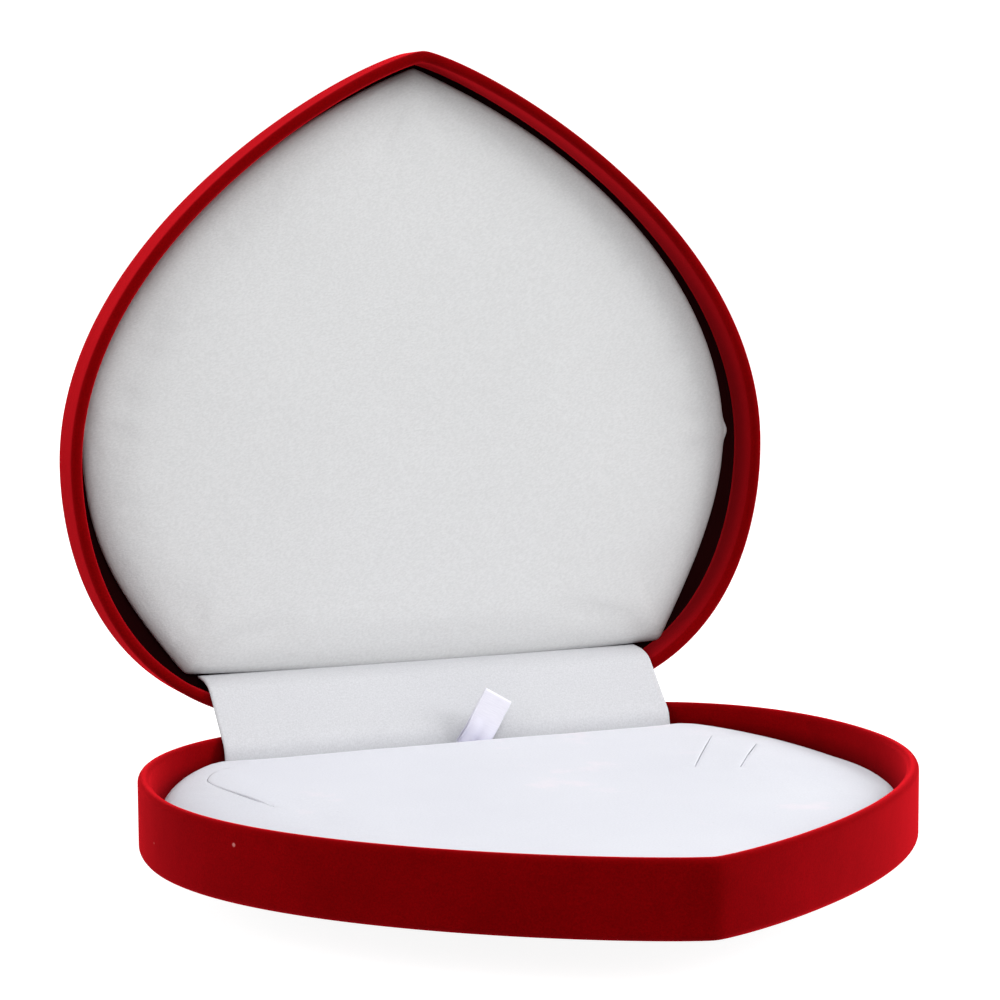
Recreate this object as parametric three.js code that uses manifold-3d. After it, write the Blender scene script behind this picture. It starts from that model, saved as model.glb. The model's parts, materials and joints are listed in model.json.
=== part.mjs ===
// Heart-shaped velvet jewellery box: a base tray with a lift-out pad, a padded lid and a snap hinge.
// Millimetres, +Z up. The origin is the middle of the underside of the base, the tip of the heart
// points to -Y and the hinge is at the +Y side. The lid is stored open.
import * as THREE from "three";
import { mergeVertices } from "three/addons/utils/BufferGeometryUtils.js";
import Module from "manifold-3d";

// ---- driving dimensions ----
const HALF_WIDTH = 90; // from the middle to the widest point of a lobe
const LENGTH = 162.4; // from the tip to the back of the lobes
const TRAY_HEIGHT = 17.35; // the base, from the table to the parting plane
const LID_HEIGHT = 14; // the lid, from the parting plane to its flat outside
const OPEN_ANGLE = THREE.MathUtils.degToRad(91.5); // how far the lid stands open
const RIM_CLEARANCE = 0.2; // each rim stops this far short of the parting plane

const WIDEST_FROM_BACK = 63.8; // how far in front of the back the lobes are widest
const LOBE_TOP_X = 28.2; // where each lobe reaches furthest back
const CLEFT_DEPTH = 5; // how far the cleft between the lobes dips in
const TIP_SLOPE = THREE.MathUtils.degToRad(12); // the sides leave the tip at this slope

const GAP = 0.3; // between pieces that touch on the real box
const VELVET = 0.6; // fabric thickness
const WALL = 1.2; // moulded tray thickness
const RIM_WIDTH = 2.8; // tray wall with velvet on both of its sides
const EDGE_RADIUS = 1.6; // rounding between the wall and the flat outside
const LIP_END = 3.15; // where the velvet inside the wall ends, above the flat outside
const HEM_WIDTH = 8; // how far the velvet is turned under the base

const PAD_DEPTH = 4.2; // from the parting plane down to the top of the pad
const PAD_INSET = 5; // from the outline in to the side of the pad
const PAD_BACK = 12.6; // from the hinge line to the straight back edge of the pad
const PAD_UNDERSIDE = 5.1; // height of the underside of the pad above the table
const LINING_DEPTH = 7; // from the parting plane to the face of the lid lining
const LINING_INSET = 4.9; // from the outline in to the side of the lining
const LINING_BACK = 12.1; // from the hinge line to the straight edge of the lining
const BOARD = 1.5; // card thickness

const HINGE_HALF_WIDTH = 11;
const KNUCKLE_RADIUS = 1.9;
const KNUCKLE_BORE = 1.1;
const PIN_RADIUS = 0.8;
const MIDDLE_KNUCKLE_HALF = 3.8; // the lid's knuckle sits between the two of the base
const LEAF = 0.6; // hinge steel thickness
const LEAF_FACE = 9.5; // from the hinge line to the inner face of a leaf
const LEAF_REACH = 10.6; // how far a leaf runs away from the parting plane
const NOTCH_DEPTH = 3; // notch in each rim that lets the leaf out
const RIVET_X = 5;
const RIVET_DROP = 7.8; // from the parting plane to the leaf rivets
const RIVET_RADIUS = 0.9;

const TONGUE_TOP = 1.3; // from the parting plane to the leaf where it crosses the rim
const RIVET_END = 6.2; // from the hinge line to the end of a leaf rivet, inside the tray wall
const HEAD_GAP = 0.2; // under the head of a rivet
const SPRING = 0.35; // thickness of the flat spring
const SPRING_HALF = 3; // half its width
const SPRING_RIVET_Y = -6.2;

const STRIP_HALF_WIDTH = 57.8;
const STRIP = 0.5; // thickness of the strip that covers the hinge
// The strip's middle line, as [y, z] from the hinge line.
const STRIP_RUN = [
  [11, 11.4],
  [8.2, 11.35],
  [4.6, 11],
  [1, 9.8],
  [-2, 7.1],
  [-5.2, 3.9],
  [-8.7, 0.5],
  [-10.9, -1.8],
  [-11.8, -4.6],
  [-12.1, -8.6],
];

const RIBBON_WIDTH = 7.8;
const RIBBON_LENGTH = 9.5;
const RIBBON_FOLD = 1; // thickness of the doubled ribbon
const RIBBON_LEAN = THREE.MathUtils.degToRad(31);
const RIBBON_FOOT = [6.3, -13.5, 10.3]; // just above the back edge of the pad

// Slits in the right half of the pad, from [x, y] to [x, y]; the left half mirrors them.
const SLIT_WIDTH = 0.8;
const SLITS = [
  [[62.9, -30.4], [39.2, -68.1]],
  [[68.4, -45.7], [51, -72.7]],
];

// Foam blocks under the pad: name, x, y, length and turn.
const RISER_WIDTH = 10;
const RISERS = [
  ["left", -60, -66, 60, Math.PI / 2],
  ["right", 60, -66, 60, Math.PI / 2],
  ["back", 0, -34, 90, 0],
  ["front", 0, -125, 50, 0],
];

const HINGE_Y = LENGTH / 2;
const TRAY_FLOOR = VELVET + WALL + GAP - 0.05;

const wasm = await Module();
wasm.setup();

// ---- the heart outline ----
const curvePoints = (from, towards, arriving, to, steps) => {
  const curve = new THREE.CubicBezierCurve(from, towards, arriving, to);
  return curve.getPoints(steps).slice(0, -1);
};

// The heart in the hinge's frame (y = 0 at the hinge line), counter-clockwise from the tip.
function heartOutline(tipSteps = 11, shoulderSteps = 8, cleftSteps = 4) {
  const tip = new THREE.Vector2(0, -LENGTH);
  const widest = new THREE.Vector2(HALF_WIDTH, -WIDEST_FROM_BACK);
  const lobe = new THREE.Vector2(LOBE_TOP_X, 0);
  const cleft = new THREE.Vector2(0, -CLEFT_DEPTH);
  const fromTip = new THREE.Vector2(Math.cos(TIP_SLOPE), Math.sin(TIP_SLOPE));
  const tipHandle = tip.clone().addScaledVector(fromTip, 19.5);
  const sideHandle = new THREE.Vector2(HALF_WIDTH, widest.y - 55);
  const shoulderHandle = new THREE.Vector2(HALF_WIDTH, widest.y + 23.4);
  const lobeOut = new THREE.Vector2(LOBE_TOP_X + 51.6, 0);
  const lobeIn = new THREE.Vector2(LOBE_TOP_X - 11, 0);
  const cleftHandle = new THREE.Vector2(6, -CLEFT_DEPTH);
  const right = [
    ...curvePoints(tip, tipHandle, sideHandle, widest, tipSteps),
    ...curvePoints(widest, shoulderHandle, lobeOut, lobe, shoulderSteps),
    ...curvePoints(lobe, lobeIn, cleftHandle, cleft, cleftSteps),
    cleft,
  ];
  const left = right.slice(1, -1).reverse().map((p) => new THREE.Vector2(-p.x, p.y));
  return [...right, ...left];
}

const OUTLINE = heartOutline();

// The outline moved inwards, each side staying parallel to itself. Nothing passes furthestBack.
function insetOutline(inset, furthestBack = Infinity) {
  return OUTLINE.map((point, i) => {
    const before = OUTLINE.at(i - 1);
    const after = OUTLINE[(i + 1) % OUTLINE.length];
    const a = point.clone().sub(before).normalize();
    const b = after.clone().sub(point).normalize();
    const inward = new THREE.Vector2(-(a.y + b.y), a.x + b.x).normalize();
    const shorten = inward.dot(new THREE.Vector2(-a.y, a.x));
    const moved = point.clone().addScaledVector(inward, inset / shorten);
    return new THREE.Vector2(moved.x, Math.min(moved.y, furthestBack));
  });
}

// ---- solids ----
const CENTRE = "centre"; // a profile point on the middle of the heart, where a flat face ends
const MIDDLE_Y = -LENGTH / 2;

// A solid that follows the heart: each profile point [inset, height] becomes a ring round it.
// With a straight back, the side that starts at sideInset is cut off level with the hinge line.
function heartSolid(profile, straightBack = null, sideInset = 0) {
  const rings = profile.map(([inset]) => {
    if (inset === CENTRE) return OUTLINE.map(() => new THREE.Vector2(0, MIDDLE_Y));
    if (straightBack === null) return insetOutline(inset);
    return insetOutline(inset, -(straightBack + inset - sideInset));
  });
  const section = profile.map(([inset, z]) => new THREE.Vector2(inset === CENTRE ? 0 : 1, z));
  const geometry = new THREE.LatheGeometry(section, OUTLINE.length);
  const position = geometry.getAttribute("position");
  for (let side = 0; side <= OUTLINE.length; side++) {
    profile.forEach(([, z], j) => {
      const { x, y } = rings[j][side % OUTLINE.length];
      position.setXYZ(side * profile.length + j, x, y, z);
    });
  }
  return geometry;
}

// Points of an arc in a profile, from one angle to another, in degrees from straight out.
function arc(inset, z, radius, from, to, steps) {
  return Array.from({ length: steps + 1 }, (_, i) => {
    const angle = THREE.MathUtils.degToRad(from + ((to - from) * i) / steps);
    return [inset - radius * Math.cos(angle), z + radius * Math.sin(angle)];
  });
}

function manifoldOf(geometry) {
  const bare = geometry.index ? geometry.toNonIndexed() : geometry.clone();
  bare.deleteAttribute("normal");
  bare.deleteAttribute("uv");
  const merged = mergeVertices(bare, 1e-4);
  return new wasm.Manifold(
    new wasm.Mesh({
      numProp: 3,
      vertProperties: new Float32Array(merged.attributes.position.array),
      triVerts: new Uint32Array(merged.index.array),
    }),
  );
}

function geometryOf(solid) {
  const mesh = solid.getMesh();
  const geometry = new THREE.BufferGeometry();
  geometry.setAttribute("position", new THREE.BufferAttribute(mesh.vertProperties, 3));
  geometry.setIndex(new THREE.BufferAttribute(mesh.triVerts, 1));
  geometry.computeVertexNormals();
  return geometry;
}

function cut(geometry, ...tools) {
  const solid = tools.reduce((s, tool) => s.subtract(manifoldOf(tool)), manifoldOf(geometry));
  return geometryOf(solid);
}

function join(...pieces) {
  return geometryOf(pieces.map(manifoldOf).reduce((a, b) => a.add(b)));
}

function block(x0, x1, y0, y1, z0, z1) {
  const box = new THREE.BoxGeometry(x1 - x0, y1 - y0, z1 - z0);
  return box.translate((x0 + x1) / 2, (y0 + y1) / 2, (z0 + z1) / 2);
}

// A turned piece along Y, from a list of [radius, y] that starts and ends on the axis.
function turned(section) {
  return new THREE.LatheGeometry(section.map(([r, y]) => new THREE.Vector2(r, y)), 16);
}

const plainRod = (radius, y0, y1) => turned([[0, y0], [radius, y0], [radius, y1], [0, y1]]);

// A shape drawn in (y, z), extruded along X between two places.
function extrudeAcross(shape, x0, x1) {
  const settings = { depth: x1 - x0, bevelEnabled: false, curveSegments: 12 };
  const geometry = new THREE.ExtrudeGeometry(shape, settings);
  const toYZ = new THREE.Matrix4().makeBasis(
    new THREE.Vector3(0, 1, 0),
    new THREE.Vector3(0, 0, 1),
    new THREE.Vector3(1, 0, 0),
  );
  return geometry.applyMatrix4(toYZ).translate(x0, 0, 0);
}

// ---- trays: heights run from the flat outside (0) to the rim, for the base and the lid alike ----
const RIM_RADIUS = RIM_WIDTH / 2;
const SHELL_OUT = (RIM_WIDTH - WALL) / 2; // inset of the outer face of the moulded tray

// Where the leaf of the hinge leaves the tray.
const notch = (height) => {
  const half = HINGE_HALF_WIDTH + 0.8;
  return block(-half, half, -18, 3, height - NOTCH_DEPTH, height + 1);
};

// Where the rivets of the leaf enter the tray wall.
const rivetHoles = (height, end) =>
  [-RIVET_X, RIVET_X].map((x) =>
    plainRod(RIVET_RADIUS + GAP, -11, end).translate(x, 0, height - RIVET_DROP),
  );

function velvetSkin(flatEnd, height) {
  const inner = RIM_RADIUS - VELVET;
  const rimCentre = height - RIM_CLEARANCE - RIM_RADIUS;
  const profile = [
    [flatEnd, 0],
    ...arc(EDGE_RADIUS, EDGE_RADIUS, EDGE_RADIUS, -90, 0, 3),
    ...arc(RIM_RADIUS, rimCentre, RIM_RADIUS, 0, 180, 6),
    [RIM_WIDTH, LIP_END],
    [RIM_WIDTH - VELVET, LIP_END],
    ...arc(RIM_RADIUS, rimCentre, inner, 180, 0, 4),
    ...arc(EDGE_RADIUS, EDGE_RADIUS, EDGE_RADIUS - VELVET, 0, -90, 2),
    [flatEnd, VELVET],
  ];
  if (flatEnd !== CENTRE) profile.push(profile[0]);
  return cut(heartSolid(profile), notch(height), ...rivetHoles(height, -6.4));
}

function mouldedTray(height) {
  const floorUnder = VELVET + GAP - 0.05;
  const innerFace = SHELL_OUT + WALL;
  const profile = [
    [CENTRE, floorUnder],
    [EDGE_RADIUS + 0.2, floorUnder],
    [SHELL_OUT, EDGE_RADIUS + 0.2],
    ...arc(RIM_RADIUS, height - RIM_CLEARANCE - RIM_RADIUS, WALL / 2, 0, 180, 4),
    [innerFace, TRAY_FLOOR + 0.8],
    [innerFace + 0.8, TRAY_FLOOR],
    [CENTRE, TRAY_FLOOR],
  ];
  return cut(heartSolid(profile), notch(height), ...rivetHoles(height, -3));
}

function bottomSheet() {
  const edge = HEM_WIDTH + GAP;
  return heartSolid([[CENTRE, 0], [edge, 0], [edge, VELVET], [CENTRE, VELVET]]);
}

// ---- pads: a card board and foam wrapped in a cover, shared by the insert and the lid lining ----
// Heights run from the underside of the pad (0) up to its face.
function paddedSet({ inset, back, height, cornerRadius }) {
  const turnedUnder = inset + HEM_WIDTH;
  const within = inset + VELVET + GAP;
  const boardTop = VELVET + GAP + BOARD;
  const foamTop = height - VELVET - GAP;
  const r = cornerRadius;
  const cover = heartSolid(
    [
      [CENTRE, height - VELVET],
      ...arc(inset + r, height - r, r - VELVET, 90, 0, 3),
      [inset + VELVET, VELVET],
      [turnedUnder, VELVET],
      [turnedUnder, 0],
      [inset + VELVET, 0],
      [inset, VELVET],
      ...arc(inset + r, height - r, r, 0, 90, 4),
      [CENTRE, height],
    ],
    back,
    inset,
  );
  const board = heartSolid(
    [[CENTRE, VELVET + GAP], [within, VELVET + GAP], [within, boardTop], [CENTRE, boardTop]],
    back,
    inset,
  );
  const foamRadius = r - VELVET - GAP;
  const foam = heartSolid(
    [
      [CENTRE, boardTop + GAP],
      [within, boardTop + GAP],
      ...arc(within + foamRadius, foamTop - foamRadius, foamRadius, 0, 90, 3),
      [CENTRE, foamTop],
    ],
    back,
    inset,
  );
  return { cover, board, foam };
}

// A slit cut straight down through the cover of the pad, between two places seen from above.
function slit([x0, y0], [x1, y1], height) {
  const cutter = new THREE.BoxGeometry(Math.hypot(x1 - x0, y1 - y0), SLIT_WIDTH, 4);
  return cutter
    .rotateZ(Math.atan2(y1 - y0, x1 - x0))
    .translate((x0 + x1) / 2, (y0 + y1) / 2, height);
}

function insertSet() {
  const height = TRAY_HEIGHT - PAD_DEPTH - PAD_UNDERSIDE;
  const set = paddedSet({ inset: PAD_INSET, back: PAD_BACK, height, cornerRadius: 3.2 });
  const slits = [-1, 1].flatMap((side) =>
    SLITS.map(([from, to]) => slit([side * from[0], from[1]], [side * to[0], to[1]], height)),
  );
  return { ...set, cover: cut(set.cover, ...slits) };
}

function liningSet() {
  const height = LID_HEIGHT - LINING_DEPTH - TRAY_FLOOR - GAP;
  return paddedSet({ inset: LINING_INSET, back: LINING_BACK, height, cornerRadius: 1.9 });
}

// A foam block with round ends that holds the pad up off the tray floor.
function riser(length) {
  const shape = new THREE.Shape();
  const round = RISER_WIDTH / 2;
  const run = length / 2 - round;
  shape.absarc(run, 0, round, -Math.PI / 2, Math.PI / 2);
  shape.absarc(-run, 0, round, Math.PI / 2, (3 * Math.PI) / 2);
  const depth = PAD_UNDERSIDE + VELVET - TRAY_FLOOR - GAP;
  return new THREE.ExtrudeGeometry(shape, { depth, bevelEnabled: false, curveSegments: 8 });
}

// A loop of ribbon, doubled over at the top, standing on its two ends.
function ribbonLoop() {
  const half = RIBBON_FOLD / 2;
  const shape = new THREE.Shape();
  shape.moveTo(-half, 0);
  shape.lineTo(half, 0);
  shape.lineTo(half, RIBBON_LENGTH - half);
  shape.absarc(0, RIBBON_LENGTH - half, half, 0, Math.PI);
  shape.closePath();
  return extrudeAcross(shape, -RIBBON_WIDTH / 2, RIBBON_WIDTH / 2);
}

// ---- hinge: shapes in the hinge's own frame, drawn for the base; the lid's leaf is its mirror ----
function leafPlate(side) {
  const top = -side * TONGUE_TOP;
  const under = -side * (TONGUE_TOP + LEAF);
  const end = -side * LEAF_REACH;
  const stop = -(KNUCKLE_RADIUS + 0.4);
  const corners = [[-LEAF_FACE, top], [-LEAF_FACE, end], [LEAF - LEAF_FACE, end]];
  corners.push([LEAF - LEAF_FACE, under], [stop, under], [stop, top]);
  const shape = new THREE.Shape(corners.map(([y, z]) => new THREE.Vector2(y, z)));
  return extrudeAcross(shape, -HINGE_HALF_WIDTH, HINGE_HALF_WIDTH);
}

function knuckle(side, x0, x1) {
  const ring = new THREE.Shape().absarc(0, 0, KNUCKLE_RADIUS, 0, 2 * Math.PI);
  ring.holes.push(new THREE.Path().absarc(0, 0, KNUCKLE_BORE, 0, 2 * Math.PI));
  const arm = block(x0, x1, -(KNUCKLE_RADIUS + 1), -0.4, 0, LEAF);
  const armLow = side > 0 ? -(TONGUE_TOP + LEAF) : TONGUE_TOP;
  const tongue = arm.translate(0, 0, armLow);
  return join(extrudeAcross(ring, x0, x1), tongue);
}

const rivetHole = (x, side) =>
  plainRod(RIVET_RADIUS + GAP, -11, -8).translate(x, 0, -side * RIVET_DROP);

function baseLeaf() {
  const outer = MIDDLE_KNUCKLE_HALF + 0.4;
  const knuckles = [
    knuckle(1, -HINGE_HALF_WIDTH, -outer),
    knuckle(1, outer, HINGE_HALF_WIDTH),
  ];
  const springHole = plainRod(RIVET_RADIUS + GAP, -2, 2)
    .rotateX(Math.PI / 2)
    .translate(0, SPRING_RIVET_Y, -TONGUE_TOP);
  const whole = join(leafPlate(1), ...knuckles);
  return cut(whole, rivetHole(-RIVET_X, 1), rivetHole(RIVET_X, 1), springHole);
}

function lidLeaf() {
  const whole = join(leafPlate(-1), knuckle(-1, -MIDDLE_KNUCKLE_HALF, MIDDLE_KNUCKLE_HALF));
  return cut(whole, rivetHole(-RIVET_X, -1), rivetHole(RIVET_X, -1));
}

function hingePin() {
  const half = HINGE_HALF_WIDTH + 0.6;
  const section = [[0, -half], [0.5, -half], [PIN_RADIUS, -half + 0.3], [PIN_RADIUS, half - 0.3]];
  section.push([0.5, half], [0, half]);
  return turned(section).rotateZ(-Math.PI / 2);
}

// A rivet along Y with its head towards -Y; the head's underside is at y = 0.
function rivet(reach) {
  const head = RIVET_RADIUS + 0.9;
  const section = [[0, -0.7], [head - 0.6, -0.7], [head, -0.3], [head, 0]];
  section.push([RIVET_RADIUS, 0], [RIVET_RADIUS, reach], [0, reach]);
  return turned(section);
}

// The flat steel spring that snaps against the middle knuckle.
function detentSpring() {
  const low = GAP - TONGUE_TOP;
  const end = -(KNUCKLE_RADIUS + GAP);
  const blade = block(-SPRING_HALF, SPRING_HALF, 1 - LEAF_FACE, end, low, low + SPRING);
  const hole = plainRod(RIVET_RADIUS + GAP, -2, 2)
    .rotateX(Math.PI / 2)
    .translate(0, SPRING_RIVET_Y, low);
  return cut(blade, hole);
}

// The strip that hides the hinge, bent from behind the lining down behind the pad.
function hingeCover() {
  const run = new THREE.SplineCurve(STRIP_RUN.map(([y, z]) => new THREE.Vector2(y, z)));
  const steps = 16;
  const side = (offset) =>
    Array.from({ length: steps + 1 }, (_, i) => {
      const t = i / steps;
      const tangent = run.getTangent(t);
      const normal = new THREE.Vector2(-tangent.y, tangent.x);
      return run.getPoint(t).addScaledVector(normal, offset);
    });
  const outline = [...side(STRIP / 2), ...side(-STRIP / 2).reverse()];
  return extrudeAcross(new THREE.Shape(outline), -STRIP_HALF_WIDTH, STRIP_HALF_WIDTH);
}

// ---- materials ----
const finish = (color, roughness, metalness = 0) =>
  new THREE.MeshStandardMaterial({ color, roughness, metalness });
const RED_VELVET = finish(0xb0101a, 0.85);
const WHITE_VELVET = finish(0xeceaf2, 0.9);
const LINING_SATIN = finish(0xdcdddb, 0.6);
const STRIP_PAPER = finish(0xdfe0e4, 0.8);
const RIBBON_SATIN = finish(0xf2f0f8, 0.45);
const TRAY_PLASTIC = finish(0x8c1318, 0.5);
const CARD = finish(0xb9a98c, 0.9);
const FOAM = finish(0xf0ede4, 0.95);
const FELT = finish(0x9a0f17, 0.95);
const STEEL = finish(0xb8babd, 0.35, 1);

// ---- assembly ----
const group = new THREE.Group();

function add(parent, name, geometry, material, x = 0, y = 0, z = 0) {
  const mesh = new THREE.Mesh(geometry, material);
  mesh.name = name;
  mesh.position.set(x, y, z);
  parent.add(mesh);
  return mesh;
}

function addLeafRivets(parent, prefix, side) {
  for (const [where, x] of [["left", -RIVET_X], ["right", RIVET_X]]) {
    const name = `${prefix}_rivet_${where}`;
    const head = -LEAF_FACE - HEAD_GAP;
    add(parent, name, rivet(-RIVET_END - head), STEEL, x, head, -side * RIVET_DROP);
  }
}

function addBase() {
  const base = new THREE.Group();
  base.position.y = HINGE_Y;
  add(base, "base_velvet", velvetSkin(HEM_WIDTH, TRAY_HEIGHT), RED_VELVET);
  add(base, "base_shell", mouldedTray(TRAY_HEIGHT), TRAY_PLASTIC);
  add(base, "base_bottom_sheet", bottomSheet(), FELT);
  group.add(base);
  const hinge = new THREE.Group();
  hinge.position.set(0, HINGE_Y, TRAY_HEIGHT);
  add(hinge, "hinge_leaf_base", baseLeaf(), STEEL);
  add(hinge, "hinge_pin", hingePin(), STEEL);
  add(hinge, "detent_spring", detentSpring(), STEEL);
  const head = GAP + SPRING + HEAD_GAP - TONGUE_TOP;
  const springRivet = add(hinge, "spring_rivet", rivet(1.8), STEEL, 0, SPRING_RIVET_Y, head);
  springRivet.rotation.x = -Math.PI / 2;
  addLeafRivets(hinge, "base", 1);
  add(hinge, "hinge_cover", hingeCover(), STRIP_PAPER);
  group.add(hinge);
}

function addInsert() {
  const insert = new THREE.Group();
  insert.position.set(0, HINGE_Y, PAD_UNDERSIDE);
  const { cover, board, foam } = insertSet();
  add(insert, "insert_cover", cover, WHITE_VELVET);
  add(insert, "insert_board", board, CARD);
  add(insert, "insert_foam", foam, FOAM);
  const drop = TRAY_FLOOR + GAP - PAD_UNDERSIDE;
  for (const [name, x, y, length, turn] of RISERS) {
    const foamBlock = add(insert, `insert_riser_${name}`, riser(length), FOAM, x, y, drop);
    foamBlock.rotation.z = turn;
  }
  const loop = add(insert, "pull_ribbon", ribbonLoop(), RIBBON_SATIN, ...RIBBON_FOOT);
  loop.rotation.y = RIBBON_LEAN;
  group.add(insert);
}

function addLid() {
  const lid = new THREE.Group();
  lid.position.set(0, HINGE_Y, TRAY_HEIGHT);
  lid.rotation.x = -OPEN_ANGLE;
  const tray = new THREE.Group();
  tray.rotation.y = Math.PI;
  tray.position.z = LID_HEIGHT;
  add(tray, "lid_velvet", velvetSkin(CENTRE, LID_HEIGHT), RED_VELVET);
  add(tray, "lid_shell", mouldedTray(LID_HEIGHT), TRAY_PLASTIC);
  const { cover, board, foam } = liningSet();
  const lining = new THREE.Group();
  lining.position.z = TRAY_FLOOR + GAP;
  add(lining, "lining_cover", cover, LINING_SATIN);
  add(lining, "lining_board", board, CARD);
  add(lining, "lining_foam", foam, FOAM);
  tray.add(lining);
  lid.add(tray);
  add(lid, "hinge_leaf_lid", lidLeaf(), STEEL);
  addLeafRivets(lid, "lid", -1);
  group.add(lid);
}

addBase();
addInsert();
addLid();

export default group;
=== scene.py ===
"""Heart-shaped velvet jewellery box: the looks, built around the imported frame. Metres throughout."""
import json
import math

import bpy
import numpy as np
from mathutils import Matrix, Vector, noise
from mathutils.geometry import delaunay_2d_cdt


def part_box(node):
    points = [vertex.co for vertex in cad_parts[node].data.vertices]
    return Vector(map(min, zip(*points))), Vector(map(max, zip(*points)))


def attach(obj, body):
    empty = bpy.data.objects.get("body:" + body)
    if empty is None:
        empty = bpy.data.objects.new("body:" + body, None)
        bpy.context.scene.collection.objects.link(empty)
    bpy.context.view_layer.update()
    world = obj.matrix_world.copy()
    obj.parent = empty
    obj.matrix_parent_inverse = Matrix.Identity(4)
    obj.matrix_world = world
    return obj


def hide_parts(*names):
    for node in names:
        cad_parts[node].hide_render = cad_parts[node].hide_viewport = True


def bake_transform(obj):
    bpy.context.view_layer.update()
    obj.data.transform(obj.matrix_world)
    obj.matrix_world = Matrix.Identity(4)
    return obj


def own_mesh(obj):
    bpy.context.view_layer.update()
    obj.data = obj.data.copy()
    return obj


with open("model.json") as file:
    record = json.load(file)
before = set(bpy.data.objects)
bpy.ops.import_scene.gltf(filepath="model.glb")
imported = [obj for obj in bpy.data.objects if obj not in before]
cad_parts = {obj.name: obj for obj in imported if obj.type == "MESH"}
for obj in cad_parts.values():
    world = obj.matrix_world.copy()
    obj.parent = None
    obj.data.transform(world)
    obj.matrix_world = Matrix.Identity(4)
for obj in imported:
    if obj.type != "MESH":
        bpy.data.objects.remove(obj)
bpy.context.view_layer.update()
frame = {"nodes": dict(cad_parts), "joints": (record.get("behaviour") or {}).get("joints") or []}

MM = 0.001

# ---- driving dimensions, all from the frame or shared with the CAD ----
LID_JOINT = next(j for j in frame["joints"] if j["name"] == "lid_hinge")
HINGE = Vector(LID_JOINT["pos_m"])
OPEN_ANGLE = math.radians(LID_JOINT["range_deg"][1])
BASE_LOW, BASE_HIGH = (Vector(c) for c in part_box("base_velvet"))
HALF_WIDTH = BASE_HIGH.x
LENGTH = BASE_HIGH.y - BASE_LOW.y
TRAY_HEIGHT = HINGE.z
PAD_LOW, PAD_HIGH = (Vector(c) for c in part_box("insert_cover"))
LID_HEIGHT = 14 * MM
RIM_CLEARANCE = TRAY_HEIGHT - BASE_HIGH.z
RIM_WIDTH = 2.8 * MM
RIM_OUTER_RADIUS = 1.3 * MM
RIM_INNER_RADIUS = 1.4 * MM
SLIT_WIDTH = 0.07 * MM
COVER_THICKNESS = 0.6 * MM
VELVET = 0.6 * MM
EDGE_RADIUS = 1.6 * MM
LIP_END = 3.15 * MM
HEM_WIDTH = 8 * MM
LINING_UNDERSIDE = 2.35 * MM
PAD_INSET = HALF_WIDTH - PAD_HIGH.x
PAD_BACK = HINGE.y - PAD_HIGH.y
STRIP_LOW, STRIP_HIGH = (Vector(c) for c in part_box("hinge_cover"))

# The lining's outline in millimetres in the lid's frame: each curve from one end to the other, with
# the handle that leaves the first end and the one that arrives at the second, both from their ends.
LINING_APEX, LINING_RIGHT, LINING_LEFT = (0.4, -158.5), (83.7, -65), (-85, -73)
LINING_CORNER_RIGHT, LINING_CORNER_LEFT = (65, -12.5), (-61, -12.5)
LINING_CURVES = [
    (LINING_APEX, (50, 21), (0, -37), LINING_RIGHT),
    (LINING_RIGHT, (0, 18), (8, -15), LINING_CORNER_RIGHT),
    (LINING_CORNER_RIGHT, (-42, 2), (42, 2), LINING_CORNER_LEFT),
    (LINING_CORNER_LEFT, (-19, -24), (0, 25), LINING_LEFT),
    (LINING_LEFT, (0, -20), (-59, 23), LINING_APEX),
]
# Where a fold of the lining stands out at its edge: its place and its strength, in millimetres.
LINING_SPIKES = [((85, -66), 1.8), ((-85, -76), 0.5)]
# How far the lining lies below the lid's parting plane.
LINING_DEPTH = 7 * MM

# Two specks of lint on the wall of the base, in metres in the frame of its skin.
LINT = [(-0.0811, -0.0974, 0.013), (-0.0899, -0.0662, 0.0073)]

# The slits for a chain, in millimetres in the hinge's frame: two short ones on the right, and a
# tongue's rounded outline on the left.
PAD_SLITS = [
    [(60, -32), (39.4, -66)],
    [(67, -42.5), (49.2, -70)],
    [(-60.6, -23.5), (-66.5, -29), (-68.2, -38), (-62.3, -66)],
]

# The lid's own frame: x across, y from the hinge line, z up from the parting plane when shut.
LID = Matrix.Translation(HINGE) @ Matrix.Rotation(-OPEN_ANGLE, 4, "X")
# The lid's tray: heights run from its flat outside down to the rim, as in the base.
LID_TRAY = LID @ Matrix.Translation((0, 0, LID_HEIGHT)) @ Matrix.Rotation(math.pi, 4, "Y")


# ---------------------------------------------------------------- outlines
def bezier(p0, p1, p2, p3, steps):
    t = np.linspace(0, 1, steps, endpoint=False)[:, None]
    return (1 - t) ** 3 * p0 + 3 * (1 - t) ** 2 * t * p1 + 3 * (1 - t) * t * t * p2 + t**3 * p3


def evenly(points, count):
    """The closed outline resampled to count points at even steps, starting at its first point."""
    loop = np.vstack([points, points[:1]])
    along = np.r_[0, np.cumsum(np.linalg.norm(np.diff(loop, axis=0), axis=1))]
    wanted = np.linspace(0, along[-1], count, endpoint=False)
    return np.c_[np.interp(wanted, along, loop[:, 0]), np.interp(wanted, along, loop[:, 1])]


def smoothed(points, passes):
    for _ in range(passes):
        points = 0.5 * points + 0.25 * (np.roll(points, 1, 0) + np.roll(points, -1, 0))
    return points


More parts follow.
